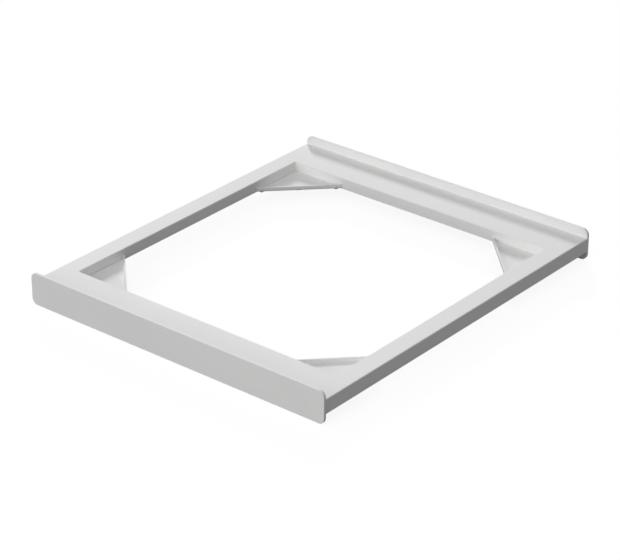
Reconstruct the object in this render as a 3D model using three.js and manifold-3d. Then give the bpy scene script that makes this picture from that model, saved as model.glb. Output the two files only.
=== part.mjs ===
// Stacking frame that joins a tumble dryer to the washing machine under it.
//
// Four folded sheet-steel rails make an oblong frame that lies on the washing
// machine's top. An upright plate at the front and one at the back reach down
// over the machine's top edges and up past the dryer's base. A folded gusset in
// each corner of the opening carries one foot of the dryer and ties two rails
// together, and a rubber pad under it passes the load to the machine.
//
// Millimetres. +X is to the right seen from the front, +Y to the back, +Z up.
// The origin is the middle of the footprint, level with the plates' lower edges.

import * as THREE from 'three';
import { mergeVertices } from 'three/addons/utils/BufferGeometryUtils.js';
import Module from 'manifold-3d';

// Frame
const clearDepth = 676; // between the inner faces of the two plates
const frameWidth = 594;
const frameHeight = 25.5; // of the outer walls
const frontRailWidth = 66;
const rearRailWidth = 73;
const sideRailWidth = 34;
const railSheet = 1.5;
const outerReturn = 12; // flange turned in under each outer wall

// Plates
const frontPlateOverhang = 2; // past the frame at either end
const rearPlateOverhang = 0; // the rear plate ends flush with the side rails
const plateThickness = 5;
const plateRise = 15.5; // above the frame
const plateDrop = 15; // below the frame
const plateCornerRadius = 11;
const plateEdgeRadius = 0.8;

// Gussets
const gussetLeg = 105; // along either rail, from the opening's corner to the lip's outer face
const gussetSheet = 3;
const gussetInsideBend = 0.5; // radius
const lipRise = 5; // above the floor that the dryer's foot stands on
const lipEndGap = 0.5; // from the lip's ends to the rails' walls
const floorRise = 3.5; // of the floor above the lap, so that it sits between the walls
const floorEdgeGap = 0.3; // from the floor's edges to the rails' walls
const lapEndSetback = 11; // from the lap's ends to the end of the leg

// Pads
const padThickness = 5.5;
const padMargin = 10; // from the pad's edge to the sides of the pocket
const padChamfer = 0.6;

// Rivets through a gusset's lap and a rail's inner flange
const rivetDiameter = 4;
const rivetHeadDiameter = 8;
const rivetHeadHeight = 1.4;
const rivetTailDiameter = 5.6;
const rivetTailHeight = 3.2;
const rivetWallGap = 1.7; // from the rivet's tail to the rail's wall
const rivetMargin = 1; // from the rivet's head to the lap's edge
const rivetPlaceShares = [0.3, 0.82]; // of the lap's length, from the opening's corner

// Screws that hold the plates, put in from inside the front and rear rails
const screwDiameter = 5;
const screwSkin = 1; // of the plate, left whole in front of the screw's hole
const screwTipGap = 0.5; // from the screw's tip to the end of its hole
const screwTipChamfer = 0.6;
const screwFlangeDiameter = 11;
const screwFlangeHeight = 1;
const screwAcrossFlats = 8;
const screwHexHeight = 3;
const screwPlaceShares = [-0.84, -0.3, 0.3, 0.84]; // of half the frame's width, from the middle

// Clearance and working sizes
const fastenerClearance = 0.3; // all round a rivet or a screw
const flangeMargin = 1; // of a rail's inner flange, past the gusset's lap
const overrun = 5; // that cutting solids reach past what they cut

// Facets
const bendSteps = 3;
const cornerSteps = 8;
const edgeSteps = 2;
const fastenerSides = 12;
const domeSteps = 2;
const padSides = 32;
const hexSides = 6;

// A fold that is sharp inside has the sheet's thickness as its outside radius.
const railBend = railSheet;
const gussetBend = gussetInsideBend + gussetSheet;
const riserEnd = floorEdgeGap + gussetSheet; // of the step from the lap up to the floor

// Levels, upwards from the plates' lower edges
const seatLevel = plateDrop;
const frameTop = seatLevel + frameHeight;
const plateHeight = frameTop + plateRise;
const floorBottom = seatLevel + padThickness;
const floorTop = floorBottom + gussetSheet;
const lapTop = floorTop - floorRise;
const lapBottom = lapTop - gussetSheet;
const lipTop = floorTop + lipRise;
const innerFlangeTop = lapTop + railSheet;
const outerFlangeTop = seatLevel + railSheet;
const screwLevel = plateHeight / 2;

// Flanges, laps and fasteners
const rivetInset = railSheet + rivetWallGap + rivetTailDiameter / 2; // behind the wall's face
const gussetLap = rivetInset + rivetHeadDiameter / 2 + rivetMargin;
const innerReturn = gussetLap + flangeMargin; // flange turned in under each inner wall
const lapEnd = gussetLeg - lapEndSetback;
const screwHoleDepth = plateThickness - screwSkin;
const screwLength = railSheet + screwHoleDepth - screwTipGap; // under the head
const rivetHole = rivetDiameter + 2 * fastenerClearance;
const screwHole = screwDiameter + 2 * fastenerClearance;

// Edges of the frame and of its opening, seen from above
const frame = {
  left: -frameWidth / 2,
  right: frameWidth / 2,
  front: -clearDepth / 2,
  back: clearDepth / 2,
};
const opening = {
  left: frame.left + sideRailWidth,
  right: frame.right - sideRailWidth,
  front: frame.front + frontRailWidth,
  back: frame.back - rearRailWidth,
};

// The corners of the opening. A corner's own +X and +Y run along its two rails.
const corners = [
  { name: 'front_left', x: opening.left, y: opening.front, turn: 0 },
  { name: 'front_right', x: opening.right, y: opening.front, turn: Math.PI / 2 },
  { name: 'rear_right', x: opening.right, y: opening.back, turn: Math.PI },
  { name: 'rear_left', x: opening.left, y: opening.back, turn: -Math.PI / 2 },
];

// Rivet centres in a corner's own coordinates, on one leg and then on the other
const rivetSpots = [
  ...rivetPlaceShares.map((share) => [share * lapEnd, -rivetInset]),
  ...rivetPlaceShares.map((share) => [-rivetInset, share * lapEnd]),
];

const screwPlaces = screwPlaceShares.map((share) => share * frame.right);

const finishes = {
  coat: { color: 0xe8e8e6, roughness: 0.45, metalness: 0 },
  rubber: { color: 0x2c2c2e, roughness: 0.9, metalness: 0 },
  aluminium: { color: 0xb8babd, roughness: 0.4, metalness: 1 },
  zinc: { color: 0xa9adb0, roughness: 0.35, metalness: 1 },
};

const wasm = await Module();
wasm.setup();

// A closed three.js geometry as a solid that can be joined and cut.
function solidFrom(geometry) {
  const bare = geometry.clone();
  bare.deleteAttribute('normal');
  bare.deleteAttribute('uv');
  const merged = mergeVertices(bare);
  return new wasm.Manifold(new wasm.Mesh({
    numProp: 3,
    vertProperties: new Float32Array(merged.attributes.position.array),
    triVerts: new Uint32Array(merged.index.array),
  }));
}

function geometryFrom(solid) {
  const mesh = solid.getMesh();
  const geometry = new THREE.BufferGeometry();
  geometry.setAttribute('position', new THREE.BufferAttribute(new Float32Array(mesh.vertProperties), 3));
  geometry.setIndex(new THREE.BufferAttribute(new Uint32Array(mesh.triVerts), 1));
  geometry.computeVertexNormals();
  return geometry;
}

function piece(name, geometry, finish) {
  const mesh = new THREE.Mesh(geometry, new THREE.MeshStandardMaterial(finishes[finish]));
  mesh.name = name;
  return mesh;
}

function grown(rectangle, distance) {
  return {
    left: rectangle.left - distance,
    right: rectangle.right + distance,
    front: rectangle.front - distance,
    back: rectangle.back + distance,
  };
}

function rectanglePoints({ left, right, front, back }) {
  return [
    new THREE.Vector2(left, front),
    new THREE.Vector2(right, front),
    new THREE.Vector2(right, back),
    new THREE.Vector2(left, back),
  ];
}

// An upright prism between two levels. It is drawn one unit high and stretched,
// so that prisms with a common level or edge meet there exactly.
function prism(points, bottom, top) {
  const geometry = new THREE.ExtrudeGeometry(new THREE.Shape(points), { depth: 1, bevelEnabled: false });
  const stretch = new THREE.Matrix4().makeScale(1, 1, top - bottom).setPosition(0, 0, bottom);
  return solidFrom(geometry.applyMatrix4(stretch));
}

// A straight drill of a fastener's size, upright or from front to back.
function drill(diameter, centre, length, upright) {
  const geometry = new THREE.CylinderGeometry(diameter / 2, diameter / 2, length, fastenerSides);
  if (upright) geometry.rotateX(Math.PI / 2);
  geometry.translate(...centre);
  return solidFrom(geometry);
}

// A closed surface through a loop of rectangles, each at its own level.
function loft(loop) {
  const positions = loop.flatMap(([rectangle, level]) => (
    rectanglePoints(rectangle).flatMap(({ x, y }) => [x, y, level])
  ));
  const sides = rectanglePoints(frame).length;
  const index = [];
  loop.forEach((_, row) => {
    const nextRow = (row + 1) % loop.length;
    for (let corner = 0; corner < sides; corner += 1) {
      const nextCorner = (corner + 1) % sides;
      const near = [row * sides + corner, row * sides + nextCorner];
      const far = [nextRow * sides + nextCorner, nextRow * sides + corner];
      index.push(near[0], near[1], far[0], near[0], far[0], far[1]);
    }
  });
  const geometry = new THREE.BufferGeometry();
  geometry.setAttribute('position', new THREE.Float32BufferAttribute(positions, 3));
  geometry.setIndex(index);
  return solidFrom(geometry);
}

// A quarter of a fold's outside, from an angle on: steps outwards and up from its centre.
function quarterFold(start) {
  return Array.from({ length: bendSteps + 1 }, (_, step) => {
    const angle = start + (Math.PI / 2) * (step / bendSteps);
    return { out: railBend * Math.cos(angle), up: railBend * Math.sin(angle) };
  });
}

// All four rails in one, before they are parted at the butt joints: the sheet's
// folded section, taken round the frame. The walls behind the plates have square
// edges, and every other fold is round outside.
function frameShell() {
  const outerFold = (start, centreLevel) => quarterFold(start).map(({ out, up }) => {
    const inset = railBend - out;
    return [{ ...frame, left: frame.left + inset, right: frame.right - inset }, centreLevel + up];
  });
  const innerFold = (start, centreLevel) => quarterFold(start).map(({ out, up }) => (
    [grown(opening, railBend + out), centreLevel + up]
  ));
  const roof = frameTop - railSheet;
  return loft([
    [grown(frame, -outerReturn), outerFlangeTop],
    [grown(frame, -outerReturn), seatLevel],
    ...outerFold(-Math.PI / 2, seatLevel + railBend),
    ...outerFold(0, frameTop - railBend),
    ...innerFold(Math.PI / 2, frameTop - railBend),
    ...innerFold(Math.PI, lapTop + railBend),
    [grown(opening, innerReturn), lapTop],
    [grown(opening, innerReturn), innerFlangeTop],
    [grown(opening, railSheet), innerFlangeTop],
    [grown(opening, railSheet), roof],
    [grown(frame, -railSheet), roof],
    [grown(frame, -railSheet), outerFlangeTop],
  ]);
}

function drilledShell() {
  const { Vector2 } = THREE;
  let shell = frameShell();
  for (const corner of corners) {
    for (const [along, across] of rivetSpots) {
      const spot = new Vector2(along, across).rotateAround(new Vector2(), corner.turn);
      const centre = [corner.x + spot.x, corner.y + spot.y, lapTop];
      shell = shell.subtract(drill(rivetHole, centre, 2 * (railSheet + overrun), true));
    }
  }
  for (const x of screwPlaces) {
    for (const wall of [frame.front, frame.back]) {
      shell = shell.subtract(drill(screwHole, [x, wall, screwLevel], 2 * (railSheet + overrun), false));
    }
  }
  return shell;
}

// The front and rear rails run the full width, and the side rails butt between
// them. The zones that part them meet in the middle of the opening.
function rails() {
  const shell = drilledShell();
  const around = grown(frame, overrun);
  const middle = new THREE.Vector2((opening.left + opening.right) / 2, (opening.front + opening.back) / 2);
  const [frontLeft, frontRight, backRight, backLeft] = rectanglePoints(opening);
  const joints = rectanglePoints({ ...around, front: opening.front, back: opening.back });
  const [leftOfFront, rightOfFront, rightOfBack, leftOfBack] = joints;
  const [aheadLeft, aheadRight, behindRight, behindLeft] = rectanglePoints(around);
  const zones = {
    front_rail: [aheadLeft, aheadRight, rightOfFront, frontRight, middle, frontLeft, leftOfFront],
    rear_rail: [behindRight, behindLeft, leftOfBack, backLeft, middle, backRight, rightOfBack],
    left_rail: [leftOfFront, frontLeft, middle, backLeft, leftOfBack],
    right_rail: [rightOfBack, backRight, middle, frontRight, rightOfFront],
  };
  return Object.entries(zones).map(([name, outline]) => {
    const rail = shell.intersect(prism(outline, seatLevel - overrun, frameTop + overrun));
    return piece(name, geometryFrom(rail), 'coat');
  });
}

function roundedOutline(width, height, radius) {
  const shape = new THREE.Shape();
  const end = width / 2 - radius;
  shape.absarc(end, radius, radius, -Math.PI / 2, 0);
  shape.absarc(end, height - radius, radius, 0, Math.PI / 2);
  shape.absarc(-end, height - radius, radius, Math.PI / 2, Math.PI);
  shape.absarc(-end, radius, radius, Math.PI, 1.5 * Math.PI);
  return shape;
}

// An upright plate on the frame's front or back, drilled from its inner face.
function plate(name, innerFace, overhang, backwards) {
  const outline = roundedOutline(frameWidth + 2 * overhang, plateHeight, plateCornerRadius);
  const geometry = new THREE.ExtrudeGeometry(outline, {
    depth: plateThickness - 2 * plateEdgeRadius,
    curveSegments: cornerSteps,
    bevelThickness: plateEdgeRadius,
    bevelSize: plateEdgeRadius,
    bevelOffset: -plateEdgeRadius,
    bevelSegments: edgeSteps,
  });
  geometry.translate(0, 0, plateEdgeRadius);
  geometry.rotateX(Math.PI / 2);
  if (backwards) geometry.rotateZ(Math.PI);
  geometry.translate(0, innerFace, 0);
  let solid = solidFrom(geometry);
  for (const x of screwPlaces) {
    solid = solid.subtract(drill(screwHole, [x, innerFace, screwLevel], 2 * screwHoleDepth, false));
  }
  return piece(name, geometryFrom(solid), 'coat');
}

// The lip, its bend and a strip of the floor in section: across, then up.
function lipSection() {
  const shape = new THREE.Shape();
  const stripEnd = -gussetBend - gussetSheet;
  const bendCentre = [-gussetBend, floorBottom + gussetBend];
  shape.moveTo(stripEnd, floorBottom);
  shape.absarc(...bendCentre, gussetBend, -Math.PI / 2, 0);
  shape.lineTo(0, lipTop);
  shape.lineTo(-gussetSheet, lipTop);
  shape.absarc(...bendCentre, gussetInsideBend, 0, -Math.PI / 2, true);
  shape.lineTo(stripEnd, floorTop);
  return shape;
}

// The lip stands across the corner, its ends cut parallel to the rails' walls.
function lip() {
  const length = gussetLeg * Math.SQRT2;
  const geometry = new THREE.ExtrudeGeometry(lipSection(), {
    depth: length,
    bevelEnabled: false,
    curveSegments: bendSteps,
  });
  geometry.translate(0, 0, -length / 2);
  geometry.rotateX(Math.PI / 2);
  geometry.rotateZ(Math.PI / 4);
  geometry.translate(gussetLeg / 2, gussetLeg / 2, 0);
  const betweenWalls = rectanglePoints({ left: lipEndGap, right: gussetLeg, front: lipEndGap, back: gussetLeg });
  return solidFrom(geometry).intersect(prism(betweenWalls, floorBottom - overrun, lipTop + overrun));
}

// One gusset in its corner's own coordinates: floor, step down, lap under two rails, and lip.
function gussetGeometry() {
  const floorEnd = gussetLeg - gussetBend * Math.SQRT2 - floorEdgeGap;
  const floor = prism([
    new THREE.Vector2(floorEdgeGap, floorEdgeGap),
    new THREE.Vector2(floorEnd, floorEdgeGap),
    new THREE.Vector2(floorEdgeGap, floorEnd),
  ], floorBottom, floorTop);
  const lap = prism([
    new THREE.Vector2(-gussetLap, -gussetLap),
    new THREE.Vector2(lapEnd, -gussetLap),
    new THREE.Vector2(lapEnd, riserEnd),
    new THREE.Vector2(riserEnd, riserEnd),
    new THREE.Vector2(riserEnd, lapEnd),
    new THREE.Vector2(-gussetLap, lapEnd),
  ], lapBottom, lapTop);
  const riser = prism([
    new THREE.Vector2(floorEdgeGap, floorEdgeGap),
    new THREE.Vector2(lapEnd, floorEdgeGap),
    new THREE.Vector2(lapEnd, riserEnd),
    new THREE.Vector2(riserEnd, riserEnd),
    new THREE.Vector2(riserEnd, lapEnd),
    new THREE.Vector2(floorEdgeGap, lapEnd),
  ], lapBottom, floorTop);
  let gusset = floor.add(lap).add(riser).add(lip());
  for (const [x, y] of rivetSpots) {
    gusset = gusset.subtract(drill(rivetHole, [x, y, lapTop], 2 * (gussetSheet + overrun), true));
  }
  return geometryFrom(gusset);
}

// A profile of radius and level turned round +Z.
function turned(profile, sides) {
  return new THREE.LatheGeometry(profile.getPoints(domeSteps), sides).rotateX(Math.PI / 2);
}

function pad(name, radius) {
  const profile = new THREE.Path();
  profile.moveTo(0, seatLevel);
  profile.lineTo(radius - padChamfer, seatLevel);
  profile.lineTo(radius, seatLevel + padChamfer);
  profile.lineTo(radius, floorBottom);
  profile.lineTo(0, floorBottom);
  return piece(name, geometryFrom(solidFrom(turned(profile, padSides))), 'rubber');
}

// Domed head under the lap, shank through both sheets, set tail above the flange.
function rivet(name) {
  const tailRadius = rivetTailDiameter / 2;
  const crown = innerFlangeTop + rivetTailHeight - tailRadius;
  const profile = new THREE.Path();
  profile.absellipse(0, lapBottom, rivetHeadDiameter / 2, rivetHeadHeight, -Math.PI / 2, 0);
  profile.lineTo(rivetDiameter / 2, lapBottom);
  profile.lineTo(rivetDiameter / 2, innerFlangeTop);
  profile.lineTo(tailRadius, innerFlangeTop);
  profile.absarc(0, crown, tailRadius, 0, Math.PI / 2);
  return piece(name, geometryFrom(solidFrom(turned(profile, fastenerSides))), 'aluminium');
}

// A flanged hexagon screw, upright: its shank hangs below the face under its head.
function screwGeometry() {
  const shank = screwDiameter / 2;
  const flange = screwFlangeDiameter / 2;
  const hexRadius = screwAcrossFlats / 2 / Math.cos(Math.PI / hexSides);
  const hexBottom = screwFlangeHeight / 2;
  const hexLength = screwFlangeHeight + screwHexHeight - hexBottom;
  const profile = new THREE.Path();
  profile.moveTo(0, -screwLength);
  profile.lineTo(shank - screwTipChamfer, -screwLength);
  profile.lineTo(shank, screwTipChamfer - screwLength);
  profile.lineTo(shank, 0);
  profile.lineTo(flange, 0);
  profile.lineTo(flange, hexBottom);
  profile.lineTo(shank, screwFlangeHeight);
  profile.lineTo(0, screwFlangeHeight);
  const hex = new THREE.CylinderGeometry(hexRadius, hexRadius, hexLength, hexSides);
  hex.rotateX(Math.PI / 2);
  hex.translate(0, 0, hexBottom + hexLength / 2);
  return geometryFrom(solidFrom(turned(profile, fastenerSides)).add(solidFrom(hex)));
}

// A corner's gusset, pad and rivets, turned to their place in the opening.
function cornerGroup(corner) {
  const group = new THREE.Group();
  group.position.set(corner.x, corner.y, 0);
  group.rotation.z = corner.turn;
  group.add(piece(`${corner.name}_gusset`, gussetGeometry(), 'coat'));

  // The pad stands in the middle of the largest circle that fits the pocket.
  const pocketLeg = gussetLeg - gussetSheet * Math.SQRT2;
  const pocketRadius = pocketLeg * (1 - Math.SQRT1_2);
  const disc = pad(`${corner.name}_pad`, pocketRadius - padMargin);
  disc.position.set(pocketRadius, pocketRadius, 0);
  group.add(disc);

  rivetSpots.forEach(([x, y], index) => {
    const fastener = rivet(`${corner.name}_rivet_${index + 1}`);
    fastener.position.set(x, y, 0);
    group.add(fastener);
  });
  return group;
}

// The screws of one plate, their heads against the inside of the rail's wall.
function plateScrews(name, innerFace, backwards) {
  return screwPlaces.map((x, index) => {
    const screw = piece(`${name}_screw_${index + 1}`, screwGeometry(), 'zinc');
    screw.position.set(x, innerFace + (backwards ? -railSheet : railSheet), screwLevel);
    screw.rotation.x = backwards ? Math.PI / 2 : -Math.PI / 2;
    return screw;
  });
}

const stackingFrame = new THREE.Group();
stackingFrame.name = 'stacking_frame';
stackingFrame.add(...rails());
stackingFrame.add(plate('front_plate', frame.front, frontPlateOverhang, false));
stackingFrame.add(plate('rear_plate', frame.back, rearPlateOverhang, true));
stackingFrame.add(...corners.map(cornerGroup));
stackingFrame.add(...plateScrews('front_plate', frame.front, false));
stackingFrame.add(...plateScrews('rear_plate', frame.back, true));

export default stackingFrame;
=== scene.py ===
"""Looks of the stacking frame: its folded sheet, pads and fasteners, and the studio.

Metres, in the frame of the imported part: +X to the right seen from the front, +Y to the back,
+Z up, with the origin in the middle of the footprint, level with the plates' lower edges.
"""

import math

import bmesh
import bpy
from mathutils import Matrix, Vector


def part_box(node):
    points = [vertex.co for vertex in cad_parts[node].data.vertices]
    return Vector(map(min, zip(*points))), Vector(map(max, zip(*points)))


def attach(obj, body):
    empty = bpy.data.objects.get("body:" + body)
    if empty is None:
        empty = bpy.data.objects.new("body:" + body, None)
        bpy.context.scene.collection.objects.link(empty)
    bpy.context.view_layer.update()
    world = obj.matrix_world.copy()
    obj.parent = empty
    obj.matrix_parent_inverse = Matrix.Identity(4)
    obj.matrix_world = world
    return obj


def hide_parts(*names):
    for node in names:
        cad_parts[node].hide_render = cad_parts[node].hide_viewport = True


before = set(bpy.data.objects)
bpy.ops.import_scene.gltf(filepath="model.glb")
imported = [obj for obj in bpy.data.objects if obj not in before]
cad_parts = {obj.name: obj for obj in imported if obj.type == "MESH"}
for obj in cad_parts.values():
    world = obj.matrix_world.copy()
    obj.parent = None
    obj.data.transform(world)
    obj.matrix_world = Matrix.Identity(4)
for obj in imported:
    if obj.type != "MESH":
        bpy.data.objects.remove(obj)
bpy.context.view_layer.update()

mm = 0.001
touch = 0.02 * mm  # within which two places count as one
weld = 0.002 * mm  # within which two vertices become one

# Folded rails
rail_sheet = 1.5 * mm
rail_fold = 1.5 * mm  # outside radius
rail_fold_inside = 0.35 * mm
rail_outer_flange = 12 * mm
rail_inner_flange = 12 * mm
cut_edge = 0.25 * mm  # rounding that the coat gives a sheared edge
fold_steps = 5
fold_inside_steps = 2
cut_edge_steps = 2

# Plates
plate_corner = 11 * mm
plate_corner_steps = 14
plate_edge = 0.8 * mm
plate_edge_steps = 4

# Gussets, from the inside corner of two rails
gusset_leg = 105 * mm
gusset_sheet = 3 * mm
gusset_lap = 11 * mm  # how far it reaches under the rails' inner flanges
gusset_lap_end = 94 * mm  # along each leg
floor_top = 23.5 * mm
floor_drop = 3.5 * mm  # from the floor down to the lap
floor_edge_gap = 0.3 * mm  # from the floor's edges to the rails' walls
step_foot_gap = 0.25 * mm  # from the foot of the step to those walls
floor_fold = 0.6 * mm  # outside radius over the step
floor_fold_steps = 3
lip_rise = 5 * mm
lip_fold_inside = 0.5 * mm
lip_fold_steps = 6
lip_end_gap = 0.5 * mm
lip_end_zone = 3 * mm  # of each end of the lip, which slides back to leave that gap

# Pads, from the rim inwards
pad_rim = 0.6 * mm  # rounding at the underside
pad_rim_middle_share = 0.3  # of the rim, where the rounding's middle lies
pad_top_rim = 0.2 * mm
pad_outer_land = 3.5 * mm
pad_groove = 2 * mm
pad_inner_land = 3 * mm
pad_relief = 0.5 * mm  # depth of the groove and of the hollow middle
pad_sides = 64

# Rivets
rivet_shank = 4 * mm
rivet_tail = 5.6 * mm
mandrel_end = 1.8 * mm  # across the broken mandrel, sunk in the head
mandrel_sunk = 0.3 * mm
mandrel_rim = 0.1 * mm
head_flat = 2.7 * mm  # across the flat round the mandrel
head_flat_fall = 0.02 * mm  # from one ring of that flat to the next
head_steps = 7
head_first_step = 2  # where the dome takes over from the flat
tail_steps = 6
tail_quarter_steps = 6.5  # in the quarter turn that would close the tail, left a little flat
rivet_sides = 28
rivets_per_corner = 4

# Screws
screw_shank = 5 * mm
screw_hole_depth = 4 * mm  # into a plate, from its inner face
screw_tip_chamfer = 0.6 * mm
screw_flange = 11 * mm
screw_flange_height = 1 * mm
screw_flange_edge = 0.15 * mm
screw_rim_height = 0.45 * mm
screw_rim_inset = 0.2 * mm
screw_cone_inset = 0.5 * mm  # of the flange's cone, inside the hexagon's flats
screw_across_flats = 8 * mm
screw_hex_height = 3 * mm
hex_root = 0.5 * mm  # level at which the hexagon starts inside the flange
hex_chamfer_height = 0.4 * mm
hex_chamfer_width = 0.7 * mm
screw_sides = 32
hex_sides = 6
screws_per_plate = 4

# Holes
hole_clearance = 0.3 * mm  # all round a rivet or a screw
drill_sheets = 4  # thicknesses of sheet that a drill is long
drill_sides = 24

# Degrees between two faces that still shade as one
sheet_shading = 40
gusset_shading = 30
pad_shading = 40
rivet_shading = 35
screw_shading = 25

# Powder coat, and its tone where it thins over an edge
coat_deep = (0.855, 0.857, 0.852, 1)
coat_pale = (0.885, 0.885, 0.878, 1)
coat_thin = (0.80, 0.805, 0.805, 1)
coat_thin_share = 0.35
coat_edge_reach = 0.7 * mm
coat_sheen = 0.2
coat_peel_depth = 0.05 * mm

# Rubber, and its tone where an edge is scuffed
rubber_deep = (0.022, 0.022, 0.024, 1)
rubber_pale = (0.045, 0.045, 0.047, 1)
rubber_scuffed = (0.12, 0.12, 0.125, 1)
rubber_scuffed_share = 0.6
rubber_edge_reach = 0.6 * mm
rubber_grain_depth = 0.06 * mm

# Bare metal
metal_edge_reach = 0.25 * mm
scratch_stretch = 14.0  # along Z
scratch_depth = 0.02 * mm

# Studio
floor_width = 60
floor_bounce = 0.1  # what the floor gives back to the frame
floor_white = 0.9
floor_glow = 1.08
floor_shadow_share = 0.16
air_light = 0.455
lamp_distance = 5

# Camera
film_width = 36  # in millimetres, like the lens
camera_lens = 145.5
camera_near, camera_far = 0.1, 200
camera_azimuth = 39.62
camera_elevation = 27.48
camera_roll = -0.09
camera_distance = 3961.53 * mm
camera_target = Vector((40.23, -61.86, 40.5)) * mm


# At the bench


def clear_bench():
    if bpy.context.object and bpy.context.object.mode != "OBJECT":
        bpy.ops.object.mode_set(mode="OBJECT")
    bpy.ops.object.select_all(action="DESELECT")


def take(piece):
    clear_bench()
    piece.select_set(True)
    bpy.context.view_layer.objects.active = piece


def open_up(piece):
    take(piece)
    bpy.ops.object.mode_set(mode="EDIT")


def close_up():
    bpy.ops.object.mode_set(mode="OBJECT")


def sheet_blank(name, low, high, level):
    """A flat blank between two corners, facing up."""
    clear_bench()
    middle = ((low[0] + high[0]) / 2, (low[1] + high[1]) / 2, level)
    bpy.ops.mesh.primitive_plane_add(size=1, location=middle)
    return sized(name, (high[0] - low[0], high[1] - low[1], 1))


def block(name, low, high):
    clear_bench()
    middle = [(start + end) / 2 for start, end in zip(low, high)]
    bpy.ops.mesh.primitive_cube_add(size=1, location=middle)
    return sized(name, [end - start for start, end in zip(low, high)])


def sized(name, size):
    piece = bpy.context.object
    piece.name = piece.data.name = name
    piece.scale = size
    bpy.ops.object.transform_apply(location=True, rotation=True, scale=True)
    return piece


def pick(piece, kind, test):
    """Selects the vertices, edges or faces that pass a test, and nothing else."""
    bpy.ops.mesh.select_mode(type=kind)
    bpy.ops.mesh.select_all(action="DESELECT")
    mesh = bmesh.from_edit_mesh(piece.data)
    parts = {"VERT": mesh.verts, "EDGE": mesh.edges, "FACE": mesh.faces}[kind]
    found = [part for part in parts if test(part)]
    for part in found:
        part.select_set(True)
    mesh.select_flush_mode()
    bmesh.update_edit_mesh(piece.data)


def lies(part, **place):
    """Whether all of an edge or face lies at the places given for x, y or z."""
    return all(
        abs(getattr(vertex.co, axis) - at) < touch
        for vertex in part.verts
        for axis, at in place.items()
    )


def on_any(edge, lines):
    return any(lies(edge, **line) for line in lines)


def middle_of(part):
    return sum((vertex.co for vertex in part.verts), Vector()) / len(part.verts)


def pull(*move):
    bpy.ops.mesh.extrude_region_move(TRANSFORM_OT_translate={"value": move})


def score(point, normal, keep_above=False):
    """Cuts all the faces by a plane, and may throw away what lies below it."""
    bpy.ops.mesh.select_all(action="SELECT")
    bpy.ops.mesh.bisect(
        plane_co=point, plane_no=normal, clear_inner=keep_above, threshold=touch
    )


def weld_seams():
    bpy.ops.mesh.select_all(action="SELECT")
    bpy.ops.mesh.remove_doubles(threshold=weld)


def round_edges(piece, radius, steps, test):
    pick(piece, "EDGE", test)
    bpy.ops.mesh.bevel(offset=radius, segments=steps, affect="EDGES", clamp_overlap=False)


def finish_with(piece, kind, **settings):
    take(piece)
    modifier = piece.modifiers.new(kind.title(), kind)
    for setting, value in settings.items():
        setattr(modifier, setting, value)
    bpy.ops.object.modifier_apply(modifier=modifier.name)


def thicken(piece, sheet):
    """Gives a folded skin its sheet thickness, on the side away from its faces."""
    finish_with(
        piece, "SOLIDIFY", thickness=sheet, offset=-1, use_even_offset=True,
        use_quality_normals=True,
    )


def thicken_step(piece, sheet):
    """The same, but exact where a step turns a corner and three planes meet."""
    finish_with(
        piece, "SOLIDIFY", thickness=sheet, offset=-1, solidify_mode="NON_MANIFOLD",
        nonmanifold_thickness_mode="CONSTRAINTS", nonmanifold_boundary_mode="NONE",
        nonmanifold_merge_threshold=weld,
    )


def face_out(piece):
    """Turns an open skin so that its widest face looks up."""
    bpy.ops.mesh.select_all(action="SELECT")
    bpy.ops.mesh.normals_make_consistent(inside=False)
    mesh = bmesh.from_edit_mesh(piece.data)
    widest = max(mesh.faces, key=lambda face: face.calc_area())
    if widest.normal.z < 0:
        bpy.ops.mesh.flip_normals()


def turn_outwards(piece):
    open_up(piece)
    weld_seams()
    bpy.ops.mesh.normals_make_consistent(inside=False)
    close_up()


def smooth(piece, degrees):
    """Smooth over folds and roundings, with flat faces kept flat."""
    take(piece)
    bpy.ops.object.shade_smooth_by_angle(angle=math.radians(degrees))
    finish_with(piece, "WEIGHTED_NORMAL", keep_sharp=True)


def copy_of(piece, name):
    twin = piece.copy()
    twin.data = piece.data.copy()
    twin.name = twin.data.name = name
    bpy.context.scene.collection.objects.link(twin)
    return twin


def put(piece, matrix):
    piece.data.transform(matrix)
    return piece


def turned(name, rings, sides):
    """A closed turned shape about Z from rings of radius and level, lowest first."""
    clear_bench()
    radius, level = rings[0]
    bpy.ops.mesh.primitive_circle_add(
        vertices=sides, radius=radius, fill_type="NGON", location=(0, 0, level)
    )
    piece = sized(name, (1, 1, 1))
    open_up(piece)
    bpy.ops.mesh.select_all(action="SELECT")
    for (old_radius, old_level), (new_radius, new_level) in zip(rings, rings[1:]):
        pull(0, 0, new_level - old_level)
        share = new_radius / old_radius
        bpy.ops.transform.resize(value=(share, share, 1), center_override=(0, 0, new_level))
    close_up()
    turn_outwards(piece)
    return piece


def drill_out(piece, places, diameter, length, axis):
    """Drills round holes of one size, each centred on its place, along an axis."""
    lay = {"Y": Matrix.Rotation(math.pi / 2, 4, "X"), "Z": Matrix.Identity(4)}[axis]
    rings = [(diameter / 2, -length / 2), (diameter / 2, length / 2)]
    bit = turned("bit", rings, drill_sides)
    bits = [put(copy_of(bit, "drill"), Matrix.Translation(place) @ lay) for place in places]
    bpy.data.objects.remove(bit)
    take(bits[0])
    for one in bits[1:]:
        one.select_set(True)
    if len(bits) > 1:
        bpy.ops.object.join()
    drill = bpy.context.object
    finish_with(piece, "BOOLEAN", object=drill, operation="DIFFERENCE", solver="EXACT")
    bpy.data.objects.remove(drill)


# Materials


def add(tree, kind, **settings):
    node = tree.nodes.new(kind)
    for setting, value in settings.items():
        setattr(node, setting, value)
    return node


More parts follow.
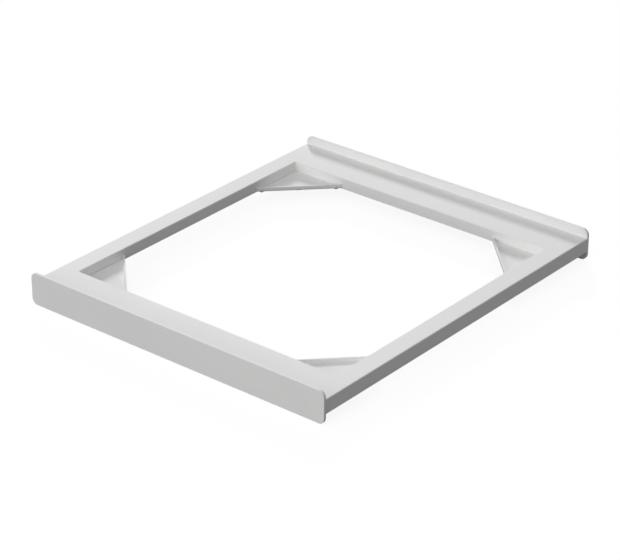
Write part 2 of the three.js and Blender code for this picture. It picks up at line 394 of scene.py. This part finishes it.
def node_group(name, inputs, outputs):
    group = bpy.data.node_groups.new(name, "ShaderNodeTree")
    for label, kind in inputs:
        group.interface.new_socket(label, in_out="INPUT", socket_type=kind)
    for label, kind in outputs:
        group.interface.new_socket(label, in_out="OUTPUT", socket_type=kind)
    given, wanted = add(group, "NodeGroupInput"), add(group, "NodeGroupOutput")
    return group, given.outputs, wanted.inputs


def noise(tree, vector, scale, detail, roughness):
    node = add(tree, "ShaderNodeTexNoise")
    node.inputs["Scale"].default_value = scale
    node.inputs["Detail"].default_value = detail
    node.inputs["Roughness"].default_value = roughness
    tree.links.new(vector, node.inputs["Vector"])
    return node.outputs["Fac"]


def spread(tree, value, low, high, new_low=0.0, new_high=1.0):
    node = add(tree, "ShaderNodeMapRange")
    tree.links.new(value, node.inputs["Value"])
    for label, number in (
        ("From Min", low), ("From Max", high), ("To Min", new_low), ("To Max", new_high)
    ):
        node.inputs[label].default_value = number
    return node.outputs["Result"]


def feed(tree, socket, value):
    """Sets a socket to a number or a colour, or links it to another node's output."""
    if isinstance(value, (int, float, tuple)):
        socket.default_value = value
    else:
        tree.links.new(value, socket)


def maths(tree, operation, first, second):
    node = add(tree, "ShaderNodeMath", operation=operation)
    feed(tree, node.inputs[0], first)
    feed(tree, node.inputs[1], second)
    return node.outputs[0]


def typed(sockets, label, kind):
    """The socket of one kind, where several share a label."""
    return next(one for one in sockets if one.name == label and one.bl_idname == kind)


def blend_colours(tree, share, first, second):
    node = add(tree, "ShaderNodeMix", data_type="RGBA")
    feed(tree, typed(node.inputs, "Factor", "NodeSocketFloatFactor"), share)
    feed(tree, typed(node.inputs, "A", "NodeSocketColor"), first)
    feed(tree, typed(node.inputs, "B", "NodeSocketColor"), second)
    return typed(node.outputs, "Result", "NodeSocketColor")


def edge_mask_group():
    """Where a surface rounds over within a reach of an edge, broken up by grain."""
    group, given, wanted = node_group(
        "rounded edges",
        [("Vector", "NodeSocketVector"), ("Reach", "NodeSocketFloat"),
         ("Grain", "NodeSocketFloat")],
        [("Mask", "NodeSocketFloat")],
    )
    rounded = add(group, "ShaderNodeBevel", samples=6)
    group.links.new(given["Reach"], rounded.inputs["Radius"])
    flat = add(group, "ShaderNodeNewGeometry")
    dot = add(group, "ShaderNodeVectorMath", operation="DOT_PRODUCT")
    group.links.new(rounded.outputs["Normal"], dot.inputs[0])
    group.links.new(flat.outputs["Normal"], dot.inputs[1])
    bend = spread(group, dot.outputs["Value"], low=1.0, high=0.8)
    speckle = add(group, "ShaderNodeTexNoise")
    group.links.new(given["Vector"], speckle.inputs["Vector"])
    group.links.new(given["Grain"], speckle.inputs["Scale"])
    broken = spread(group, speckle.outputs["Fac"], low=0.3, high=0.6, new_low=0.35)
    group.links.new(maths(group, "MULTIPLY", bend, broken), wanted["Mask"])
    return group


def mottle_group():
    """Slow clouds of tone with a little fine grain, about a middle of one half."""
    group, given, wanted = node_group(
        "mottle",
        [("Vector", "NodeSocketVector"), ("Cloud Scale", "NodeSocketFloat"),
         ("Grain Scale", "NodeSocketFloat")],
        [("Value", "NodeSocketFloat")],
    )
    clouds, grain = add(group, "ShaderNodeTexNoise"), add(group, "ShaderNodeTexNoise")
    for node, label in ((clouds, "Cloud Scale"), (grain, "Grain Scale")):
        group.links.new(given["Vector"], node.inputs["Vector"])
        group.links.new(given[label], node.inputs["Scale"])
        node.inputs["Detail"].default_value = 3
    mixed = add(group, "ShaderNodeMix", data_type="FLOAT")
    mixed.inputs["Factor"].default_value = 0.3
    group.links.new(clouds.outputs["Fac"], mixed.inputs["A"])
    group.links.new(grain.outputs["Fac"], mixed.inputs["B"])
    group.links.new(mixed.outputs["Result"], wanted["Value"])
    return group


def peel_group():
    """The low dimples of a baked coat or a moulded skin, as a height."""
    group, given, wanted = node_group(
        "peel",
        [("Vector", "NodeSocketVector"), ("Dimple Scale", "NodeSocketFloat"),
         ("Dust Scale", "NodeSocketFloat")],
        [("Height", "NodeSocketFloat")],
    )
    dimples = add(group, "ShaderNodeTexVoronoi", feature="SMOOTH_F1")
    group.links.new(given["Vector"], dimples.inputs["Vector"])
    group.links.new(given["Dimple Scale"], dimples.inputs["Scale"])
    dust = add(group, "ShaderNodeTexNoise")
    group.links.new(given["Vector"], dust.inputs["Vector"])
    group.links.new(given["Dust Scale"], dust.inputs["Scale"])
    hollows = spread(group, dimples.outputs["Distance"], low=0.0, high=0.9, new_high=0.8)
    fine = maths(group, "MULTIPLY", dust.outputs["Fac"], 0.2)
    group.links.new(maths(group, "ADD", hollows, fine), wanted["Height"])
    return group


rounded_edges = edge_mask_group()
mottle = mottle_group()
peel = peel_group()


def place_group(tree, group, vector, **values):
    node = add(tree, "ShaderNodeGroup", node_tree=group)
    tree.links.new(vector, node.inputs["Vector"])
    for label, value in values.items():
        node.inputs[label.replace("_", " ").title()].default_value = value
    return node.outputs[0]


def new_finish(name):
    material = bpy.data.materials.new(name)
    material.use_nodes = True
    tree = material.node_tree
    shader = tree.nodes["Principled BSDF"]
    where = add(tree, "ShaderNodeTexCoord").outputs["Object"]
    return material, tree, shader, where


def bump_from(tree, shader, height, strength, distance):
    bump = add(tree, "ShaderNodeBump")
    bump.inputs["Strength"].default_value = strength
    bump.inputs["Distance"].default_value = distance
    tree.links.new(height, bump.inputs["Height"])
    tree.links.new(bump.outputs["Normal"], shader.inputs["Normal"])


def white_powder_coat():
    material, tree, shader, where = new_finish("white powder coat")
    cloud = place_group(tree, mottle, where, cloud_scale=7.0, grain_scale=240.0)
    edge = place_group(tree, rounded_edges, where, reach=coat_edge_reach, grain=300.0)
    body = blend_colours(tree, spread(tree, cloud, low=0.35, high=0.65), coat_deep, coat_pale)
    thin = maths(tree, "MULTIPLY", edge, coat_thin_share)
    tree.links.new(blend_colours(tree, thin, body, coat_thin), shader.inputs["Base Color"])
    rough = spread(tree, cloud, low=0.3, high=0.7, new_low=0.58, new_high=0.66)
    tree.links.new(rough, shader.inputs["Roughness"])
    shader.inputs["IOR"].default_value = 1.5
    shader.inputs["Specular IOR Level"].default_value = coat_sheen
    height = place_group(tree, peel, where, dimple_scale=520.0, dust_scale=2400.0)
    bump_from(tree, shader, height, strength=0.25, distance=coat_peel_depth)
    return material


def black_rubber():
    material, tree, shader, where = new_finish("black pad rubber")
    cloud = place_group(tree, mottle, where, cloud_scale=60.0, grain_scale=1400.0)
    edge = place_group(tree, rounded_edges, where, reach=rubber_edge_reach, grain=900.0)
    body = blend_colours(tree, spread(tree, cloud, low=0.3, high=0.7), rubber_deep, rubber_pale)
    scuffed = maths(tree, "MULTIPLY", edge, rubber_scuffed_share)
    colour = blend_colours(tree, scuffed, body, rubber_scuffed)
    tree.links.new(colour, shader.inputs["Base Color"])
    rough = spread(tree, cloud, low=0.3, high=0.7, new_low=0.72, new_high=0.9)
    tree.links.new(rough, shader.inputs["Roughness"])
    height = place_group(tree, peel, where, dimple_scale=1500.0, dust_scale=5200.0)
    bump_from(tree, shader, height, strength=0.4, distance=rubber_grain_depth)
    return material


def bare_metal(name, dark, light, worn, smoothest, roughest, scratch_scale):
    """Metal in clouds from dark to light, rubbed bright at its edges."""
    material, tree, shader, where = new_finish(name)
    shader.inputs["Metallic"].default_value = 1.0
    cloud = place_group(tree, mottle, where, cloud_scale=140.0, grain_scale=1800.0)
    edge = place_group(tree, rounded_edges, where, reach=metal_edge_reach, grain=1500.0)
    body = blend_colours(tree, spread(tree, cloud, low=0.3, high=0.7), dark, light)
    tree.links.new(blend_colours(tree, edge, body, worn), shader.inputs["Base Color"])
    lay = add(tree, "ShaderNodeMapping")
    lay.inputs["Scale"].default_value = (1.0, 1.0, scratch_stretch)
    tree.links.new(where, lay.inputs["Vector"])
    marks = noise(tree, lay.outputs["Vector"], scale=scratch_scale, detail=3.0, roughness=0.6)
    rough = spread(tree, marks, low=0.3, high=0.7, new_low=smoothest, new_high=roughest)
    tree.links.new(rough, shader.inputs["Roughness"])
    bump_from(tree, shader, marks, strength=0.2, distance=scratch_depth)
    return material


finishes = {
    "white_coat": white_powder_coat(),
    "pad_rubber": black_rubber(),
    "rivet_aluminium": bare_metal(
        "rivet aluminium", dark=(0.56, 0.57, 0.58, 1), light=(0.66, 0.665, 0.67, 1),
        worn=(0.78, 0.79, 0.8, 1), smoothest=0.3, roughest=0.48, scratch_scale=700.0,
    ),
    "zinc_steel": bare_metal(
        "bright zinc", dark=(0.50, 0.52, 0.54, 1), light=(0.62, 0.62, 0.58, 1),
        worn=(0.74, 0.76, 0.78, 1), smoothest=0.22, roughest=0.4, scratch_scale=900.0,
    ),
}


def hand_over(piece, node, slot):
    """Gives a finished piece its coat and its place in the part."""
    piece.data.materials.clear()
    piece.data.materials.append(finishes[slot])
    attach(piece, "root")
    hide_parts(node)


# Sizes and places from the part

rail_low, rail_high = {}, {}
for rail in ("front", "rear", "left", "right"):
    rail_low[rail], rail_high[rail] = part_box(f"{rail}_rail")
frame_left, frame_right = rail_low["front"].x, rail_high["front"].x
frame_front, frame_back = rail_low["front"].y, rail_high["rear"].y
open_left, open_right = rail_high["left"].x, rail_low["right"].x
open_front, open_back = rail_high["front"].y, rail_low["rear"].y
side_walls = (frame_left, frame_right)
side_lips = (frame_left + rail_outer_flange, frame_right - rail_outer_flange)

rail_top, rail_bottom = rail_high["front"].z, rail_low["front"].z
under_top = rail_top - rail_sheet
outer_flange_top = rail_bottom + rail_sheet
lap_top = floor_top - floor_drop
inner_flange_top = lap_top + rail_sheet

corner_turns = {
    "front_left": (open_left, open_front, 0.0),
    "front_right": (open_right, open_front, math.pi / 2),
    "rear_right": (open_right, open_back, math.pi),
    "rear_left": (open_left, open_back, -math.pi / 2),
}


def into_corner(corner):
    """Takes a shape from the inside corner's own coordinates to its place."""
    x, y, turn = corner_turns[corner]
    return Matrix.Translation((x, y, 0)) @ Matrix.Rotation(turn, 4, "Z")


def node_middle(node):
    low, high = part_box(node)
    return (low + high) / 2


rivet_names = [
    f"{corner}_rivet_{number}"
    for corner in corner_turns
    for number in range(1, rivets_per_corner + 1)
]
screw_names = [
    f"{side}_plate_screw_{number}"
    for side in ("front", "rear")
    for number in range(1, screws_per_plate + 1)
]


# Rails


def fold_rail(piece, is_fold, inner_folds, cut_lines):
    """Thickens a rail's skin and rounds its folds and sheared edges."""
    thicken(piece, rail_sheet)
    open_up(piece)
    weld_seams()
    round_edges(piece, rail_fold, fold_steps, is_fold)
    round_edges(
        piece, rail_fold_inside, fold_inside_steps, lambda edge: on_any(edge, inner_folds)
    )
    round_edges(piece, cut_edge, cut_edge_steps, lambda edge: on_any(edge, cut_lines))
    close_up()
    turn_outwards(piece)
    return piece


def side_rail(name, outer, inner):
    """A channel folded down at both edges, with a flange turned in under each wall."""
    inward = 1 if inner > outer else -1
    piece = sheet_blank(
        name, (min(outer, inner), open_front), (max(outer, inner), open_back), rail_top
    )
    open_up(piece)
    pick(piece, "EDGE", lambda edge: lies(edge, x=outer))
    pull(0, 0, rail_bottom - rail_top)
    pull(inward * rail_outer_flange, 0, 0)
    pick(piece, "EDGE", lambda edge: lies(edge, x=inner, z=rail_top))
    pull(0, 0, lap_top - rail_top)
    pull(-inward * rail_inner_flange, 0, 0)
    face_out(piece)
    close_up()
    folds = [
        {"x": outer, "z": rail_top}, {"x": outer, "z": rail_bottom},
        {"x": inner, "z": rail_top}, {"x": inner, "z": lap_top},
    ]
    thickness = inward * rail_sheet
    inner_folds = [
        {"x": outer + thickness, "z": under_top}, {"x": outer + thickness, "z": outer_flange_top},
        {"x": inner - thickness, "z": under_top}, {"x": inner - thickness, "z": inner_flange_top},
    ]
    outer_lip = outer + inward * rail_outer_flange
    inner_lip = inner - inward * rail_inner_flange
    cut_lines = [
        {"x": outer_lip, "z": rail_bottom}, {"x": outer_lip, "z": outer_flange_top},
        {"x": inner_lip, "z": lap_top}, {"x": inner_lip, "z": inner_flange_top},
    ]
    return fold_rail(piece, lambda edge: on_any(edge, folds), inner_folds, cut_lines)


def tops_the_opening(edge, inner):
    """Whether an edge lies on top of an end rail's wall on the opening."""
    return lies(edge, y=inner, z=rail_top) and open_left < middle_of(edge).x < open_right


def end_skin(name, outer, inner, outer_lip):
    """An end rail's skin: walls on three sides with a flange each, and one on the opening."""
    inward = 1 if inner > outer else -1
    piece = sheet_blank(
        name, (frame_left, min(outer, inner)), (frame_right, max(outer, inner)), rail_top
    )
    open_up(piece)
    for x in (*side_lips, open_left, open_right):
        score((x, 0, 0), (1, 0, 0))
    score((0, outer_lip, 0), (0, 1, 0))
    walls = [{"y": outer}, {"x": frame_left}, {"x": frame_right}]
    pick(piece, "EDGE", lambda edge: on_any(edge, walls))
    pull(0, 0, rail_bottom - rail_top)
    pick(piece, "EDGE", lambda edge: lies(edge, y=outer, z=rail_bottom))
    pull(0, inward * rail_outer_flange, 0)
    for wall, lip in zip(side_walls, side_lips):
        pick(piece, "EDGE", lambda edge: (
            lies(edge, x=wall, z=rail_bottom)
            and inward * (middle_of(edge).y - outer_lip) > 0
        ))
        pull(lip - wall, 0, 0)
    pick(piece, "EDGE", lambda edge: tops_the_opening(edge, inner))
    pull(0, 0, lap_top - rail_top)
    pull(0, -inward * rail_inner_flange, 0)
    weld_seams()
    face_out(piece)
    close_up()
    return piece


def end_rail(name, outer, inner):
    """The wide rail behind a plate, with sharp folds on the wall that the plate covers."""
    inward = 1 if inner > outer else -1
    outer_lip = outer + inward * rail_outer_flange
    inner_lip = inner - inward * rail_inner_flange
    piece = end_skin(name, outer, inner, outer_lip)
    folds = [{"y": inner, "z": lap_top}]
    folds += [{"x": x, "z": z} for x in side_walls for z in (rail_top, rail_bottom)]
    inner_folds = [
        {"x": x, "z": z}
        for x in (frame_left + rail_sheet, frame_right - rail_sheet)
        for z in (under_top, outer_flange_top)
    ]
    lips = [{"y": outer_lip}] + [{"x": x} for x in side_lips]
    cut_lines = [{**lip, "z": z} for lip in lips for z in (rail_bottom, outer_flange_top)]
    cut_lines += [{"y": inner_lip, "z": z} for z in (lap_top, inner_flange_top)]
    return fold_rail(
        piece, lambda edge: on_any(edge, folds) or tops_the_opening(edge, inner),
        inner_folds, cut_lines,
    )


def drill_for_rivets(piece, node):
    low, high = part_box(node)
    middles = [node_middle(name) for name in rivet_names]
    places = [
        Vector((at.x, at.y, lap_top)) for at in middles
        if low.x < at.x < high.x and low.y < at.y < high.y
    ]
    drill_out(piece, places, rivet_shank + 2 * hole_clearance, drill_sheets * rail_sheet, "Z")


def drill_for_screws(piece, plate, face, length):
    middles = [node_middle(name) for name in screw_names if name.startswith(plate)]
    places = [Vector((at.x, face, at.z)) for at in middles]
    drill_out(piece, places, screw_shank + 2 * hole_clearance, length, "Y")


rails = {
    "left_rail": side_rail("left_rail_folded", frame_left, open_left),
    "right_rail": side_rail("right_rail_folded", frame_right, open_right),
    "front_rail": end_rail("front_rail_folded", frame_front, open_front),
    "rear_rail": end_rail("rear_rail_folded", frame_back, open_back),
}
for node, piece in rails.items():
    drill_for_rivets(piece, node)
drill_for_screws(rails["front_rail"], "front_plate", frame_front, drill_sheets * rail_sheet)
drill_for_screws(rails["rear_rail"], "rear_plate", frame_back, drill_sheets * rail_sheet)
for node, piece in rails.items():
    smooth(piece, sheet_shading)
    hand_over(piece, node, "white_coat")


# Plates


def upright_plate(node, inner_face):
    low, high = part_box(node)
    piece = block(f"{node}_rounded", low, high)
    open_up(piece)
    round_edges(
        piece, plate_corner, plate_corner_steps,
        lambda edge: abs(edge.verts[0].co.y - edge.verts[1].co.y) > touch,
    )
    round_edges(
        piece, plate_edge, plate_edge_steps,
        lambda edge: lies(edge, y=low.y) or lies(edge, y=high.y),
    )
    close_up()
    turn_outwards(piece)
    drill_for_screws(piece, node, inner_face, 2 * screw_hole_depth)
    smooth(piece, sheet_shading)
    hand_over(piece, node, "white_coat")


upright_plate("front_plate", frame_front)
upright_plate("rear_plate", frame_back)


# Gussets

lip_line = gusset_leg - gusset_sheet * math.sqrt(2)  # x + y over the lip's inner face


def on_lip(edge):
    return all(abs(vertex.co.x + vertex.co.y - lip_line) < touch for vertex in edge.verts)


def past_the_lap(face):
    """Whether a face lies in a wall's strip, farther along the wall than the lap goes."""
    at = middle_of(face)
    return min(at.x, at.y) < floor_edge_gap and max(at.x, at.y) > gusset_lap_end


def gusset_skin():
    """The upper skin of lap, step, floor and lip, in the inside corner's coordinates."""
    piece = sheet_blank(
        "gusset_folded", (-gusset_lap, -gusset_lap), (gusset_leg, gusset_leg), floor_top
    )
    open_up(piece)
    score((lip_line / 2, lip_line / 2, 0), (-1, -1, 0), keep_above=True)
    for line in (step_foot_gap, floor_edge_gap, gusset_lap_end):
        score((line, 0, 0), (1, 0, 0))
        score((0, line, 0), (0, 1, 0))
    pick(piece, "FACE", past_the_lap)
    bpy.ops.mesh.delete(type="FACE")
    pick(piece, "VERT", lambda vertex: min(vertex.co.x, vertex.co.y) < step_foot_gap + touch)
    bpy.ops.transform.translate(value=(0, 0, -floor_drop))
    pick(piece, "EDGE", on_lip)
    pull(0, 0, lip_rise)
    round_edges(
        piece, lip_fold_inside, lip_fold_steps,
        lambda edge: on_lip(edge) and lies(edge, z=floor_top),
    )
    face_out(piece)
    close_up()
    return piece


def free_lip_ends(piece):
    """Slides the lip's two ends along its line, clear of the rails' walls."""
    past_bend = lip_line - lip_fold_inside * math.sqrt(2) + touch
    for vertex in piece.data.vertices:
        if vertex.co.x + vertex.co.y > past_bend:
            for near, far in ((0, 1), (1, 0)):
                if vertex.co[near] < lip_end_zone:
                    slide = lip_end_gap - vertex.co[near]
                    vertex.co[near] += slide
                    vertex.co[far] -= slide


def folded_gusset():
    """One gusset in its corner's own coordinates, legs along +X and +Y."""
    piece = gusset_skin()
    thicken_step(piece, gusset_sheet)
    free_lip_ends(piece)
    open_up(piece)
    weld_seams()
    bpy.ops.mesh.normals_make_consistent(inside=False)
    lip_top = floor_top + lip_rise
    round_edges(
        piece, cut_edge, cut_edge_steps,
        lambda edge: lies(edge, z=lip_top) and edge.calc_length() > gusset_leg / 2,
    )
    floor_edges = [
        {"x": floor_edge_gap, "z": floor_top}, {"y": floor_edge_gap, "z": floor_top}
    ]
    round_edges(
        piece, floor_fold, floor_fold_steps, lambda edge: on_any(edge, floor_edges)
    )
    close_up()
    return piece


gusset = folded_gusset()
first_corner = next(iter(corner_turns))
out_of_corner = into_corner(first_corner).inverted()
rivet_spots = [
    out_of_corner @ node_middle(name) for name in rivet_names if name.startswith(first_corner)
]
drill_out(
    gusset, [Vector((spot.x, spot.y, lap_top)) for spot in rivet_spots],
    rivet_shank + 2 * hole_clearance, drill_sheets * gusset_sheet, "Z",
)
smooth(gusset, gusset_shading)
for corner in corner_turns:
    piece = put(copy_of(gusset, f"{corner}_gusset_folded"), into_corner(corner))
    hand_over(piece, f"{corner}_gusset", "white_coat")
bpy.data.objects.remove(gusset)


# Pads


def moulded_pad():
    """A disc with a groove and a hollow middle moulded into its underside."""
    low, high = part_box("front_left_pad")
    radius = (high.x - low.x) / 2
    bottom, top = low.z, high.z
    sunk = bottom + pad_relief
    groove_out = radius - pad_outer_land
    groove_in = groove_out - pad_groove
    hollow = groove_in - pad_inner_land
    rim_middle = pad_rim_middle_share * pad_rim
    rings = [
        (hollow - pad_relief, sunk), (hollow, bottom), (groove_in, bottom),
        (groove_in + pad_relief, sunk), (groove_out - pad_relief, sunk), (groove_out, bottom),
        (radius - pad_rim, bottom), (radius - rim_middle, bottom + rim_middle),
        (radius, bottom + pad_rim), (radius, top - pad_top_rim), (radius - pad_top_rim, top),
    ]
    return turned("pad_moulded", rings, pad_sides)


pad = moulded_pad()
smooth(pad, pad_shading)
for corner in corner_turns:
    at = node_middle(f"{corner}_pad")
    piece = put(copy_of(pad, f"{corner}_pad_moulded"), Matrix.Translation((at.x, at.y, 0)))
    hand_over(piece, f"{corner}_pad", "pad_rubber")
bpy.data.objects.remove(pad)


# Rivets


def set_rivet():
    """A set blind rivet: domed head with its mandrel's end, shank and bulged tail."""
    low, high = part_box("front_left_rivet_1")
    head, shank, tail = (high.x - low.x) / 2, rivet_shank / 2, rivet_tail / 2
    lap_bottom = lap_top - gusset_sheet
    dome = lap_bottom - low.z
    rings = [
        (mandrel_end / 2, low.z + mandrel_sunk),
        (mandrel_end / 2 + mandrel_rim, low.z + 2 * head_flat_fall),
        (head_flat / 2, low.z + head_flat_fall),
    ]
    for step in range(head_first_step, head_steps):
        angle = math.pi / 2 * step / head_steps
        rings.append((head * math.sin(angle), lap_bottom - dome * math.cos(angle)))
    rings += [
        (head, lap_bottom), (shank, lap_bottom),
        (shank, inner_flange_top), (tail, inner_flange_top),
    ]
    crown = high.z - tail
    for step in range(tail_steps):
        angle = math.pi / 2 * step / tail_quarter_steps
        rings.append((tail * math.cos(angle), crown + tail * math.sin(angle)))
    return turned("rivet_set", rings, rivet_sides)


rivet = set_rivet()
smooth(rivet, rivet_shading)
for name in rivet_names:
    at = node_middle(name)
    piece = put(copy_of(rivet, f"{name}_set"), Matrix.Translation((at.x, at.y, 0)))
    hand_over(piece, name, "rivet_aluminium")
bpy.data.objects.remove(rivet)


# Screws


def flanged_screw(node):
    """A flanged hexagon screw, upright with its shank hanging below zero."""
    low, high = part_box(node)
    head_height = screw_flange_height + screw_hex_height
    length = (high.y - low.y) - head_height
    shank, flange, flats = screw_shank / 2, screw_flange / 2, screw_across_flats / 2
    shaft = turned(
        "screw_flanged",
        [
            (shank - screw_tip_chamfer, -length), (shank, -length + screw_tip_chamfer),
            (shank, 0), (flange - screw_flange_edge, 0),
            (flange, screw_flange_edge), (flange, screw_rim_height),
            (flange - screw_rim_inset, screw_rim_height + screw_flange_edge),
            (flats - screw_cone_inset, screw_flange_height),
        ],
        screw_sides,
    )
    corner = flats / math.cos(math.pi / hex_sides)
    hexagon = turned(
        "hexagon",
        [
            (corner, hex_root), (corner, head_height - hex_chamfer_height),
            (corner - hex_chamfer_width, head_height),
        ],
        hex_sides,
    )
    finish_with(shaft, "BOOLEAN", object=hexagon, operation="UNION", solver="EXACT")
    bpy.data.objects.remove(hexagon)
    return shaft


screw = flanged_screw("front_plate_screw_1")
smooth(screw, screw_shading)
for name in screw_names:
    at = node_middle(name)
    front = name.startswith("front")
    seat = frame_front + rail_sheet if front else frame_back - rail_sheet
    turn = Matrix.Rotation(-math.pi / 2 if front else math.pi / 2, 4, "X")
    piece = put(copy_of(screw, f"{name}_flanged"), Matrix.Translation((at.x, seat, at.z)) @ turn)
    hand_over(piece, name, "zinc_steel")
bpy.data.objects.remove(screw)


# Studio


def mix(tree, share, first, second):
    """One shader or the other, by a share given as a number or a socket."""
    node = add(tree, "ShaderNodeMixShader")
    feed(tree, node.inputs["Fac"], share)
    tree.links.new(first, node.inputs[1])
    tree.links.new(second, node.inputs[2])
    return node.outputs[0]


def plain(tree, kind, label, value):
    """A shader of one kind with one of its sockets set."""
    node = add(tree, kind)
    node.inputs[label].default_value = value
    return node.outputs[0]


def grey(value):
    return (value, value, value, 1)


def pale_floor():
    """White as it is seen and mirrored, with the shadow kept, but dark as it lights the frame."""
    clear_bench()
    bpy.ops.mesh.primitive_plane_add(size=floor_width, location=(0, 0, 0))
    floor = bpy.context.object
    floor.name = floor.data.name = "floor"
    material = bpy.data.materials.new("pale floor")
    material.use_nodes = True
    tree = material.node_tree
    tree.nodes.clear()
    out = add(tree, "ShaderNodeOutputMaterial")
    path = add(tree, "ShaderNodeLightPath")
    seen = maths(tree, "MAXIMUM", path.outputs["Is Camera Ray"], path.outputs["Is Glossy Ray"])
    seen = maths(tree, "MAXIMUM", seen, path.outputs["Is Transmission Ray"])
    bounce = plain(tree, "ShaderNodeBsdfDiffuse", "Color", grey(floor_bounce))
    white = plain(tree, "ShaderNodeBsdfDiffuse", "Color", grey(floor_white))
    glow = plain(tree, "ShaderNodeEmission", "Strength", floor_glow)
    shown = mix(tree, 1 - floor_shadow_share, white, glow)
    both = mix(tree, seen, bounce, shown)
    below = add(tree, "ShaderNodeNewGeometry").outputs["Backfacing"]
    clear = add(tree, "ShaderNodeBsdfTransparent").outputs[0]
    tree.links.new(mix(tree, below, both, clear), out.inputs["Surface"])
    floor.data.materials.append(material)


def studio_air():
    """Light from all round, and white where the camera looks past the floor."""
    world = bpy.data.worlds.new("studio")
    bpy.context.scene.world = world
    world.use_nodes = True
    tree = world.node_tree
    tree.nodes.clear()
    out = add(tree, "ShaderNodeOutputWorld")
    path = add(tree, "ShaderNodeLightPath")
    seen = maths(
        tree, "MAXIMUM", path.outputs["Is Camera Ray"], path.outputs["Is Transmission Ray"]
    )
    dim = plain(tree, "ShaderNodeBackground", "Strength", air_light)
    white = plain(tree, "ShaderNodeBackground", "Strength", 1.0)
    tree.links.new(mix(tree, seen, dim, white), out.inputs["Surface"])


def towards(azimuth, elevation):
    """The direction of an azimuth, 0 in front and 90 to the right, and an elevation."""
    turn, rise = math.radians(azimuth), math.radians(elevation)
    flat = math.cos(rise)
    return Vector((math.sin(turn) * flat, -math.cos(turn) * flat, math.sin(rise)))


def hang(name, kind, power, location):
    lamp = bpy.data.objects.new(name, bpy.data.lights.new(name, kind))
    lamp.data.energy = power
    lamp.location = location
    bpy.context.scene.collection.objects.link(lamp)
    return lamp


def far_lamp(name, azimuth, elevation, power, spread_degrees):
    """A distant lamp that shines on the frame from a direction."""
    back = towards(azimuth, elevation)
    lamp = hang(name, "SUN", power, back * lamp_distance)
    lamp.data.angle = math.radians(spread_degrees)
    lamp.rotation_mode = "QUATERNION"
    lamp.rotation_quaternion = back.to_track_quat("Z", "Y")


def soft_box(name, location, power, width):
    """A square lamp that hangs over the floor and shines straight down."""
    lamp = hang(name, "AREA", power, location)
    lamp.data.size = width


pale_floor()
studio_air()
far_lamp("key from the rear left", azimuth=-135, elevation=20, power=1.577, spread_degrees=11)
soft_box("overhead", location=(0.15, -0.6, 1.6), power=3.05, width=0.9)
far_lamp("front fill", azimuth=-10, elevation=12, power=1.5, spread_degrees=50)


# Camera


def photo_camera():
    """The photograph's viewpoint, worked out from the frame's straight edges."""
    lens = bpy.data.cameras.new("photo camera")
    lens.sensor_width = film_width
    lens.lens = camera_lens
    lens.clip_start, lens.clip_end = camera_near, camera_far
    camera = bpy.data.objects.new("photo camera", lens)
    bpy.context.scene.collection.objects.link(camera)
    back = towards(camera_azimuth, camera_elevation)
    right = towards(camera_azimuth + 90, 0)
    up = back.cross(right)
    roll = math.radians(camera_roll)
    across = right * math.cos(roll) + up * math.sin(roll)
    upright = up * math.cos(roll) - right * math.sin(roll)
    turn = Matrix((across, upright, back)).transposed()
    place = camera_target + back * camera_distance
    camera.matrix_world = Matrix.Translation(place) @ turn.to_4x4()
    bpy.context.scene.camera = camera


photo_camera()

bpy.context.scene.view_settings.view_transform = "Standard"
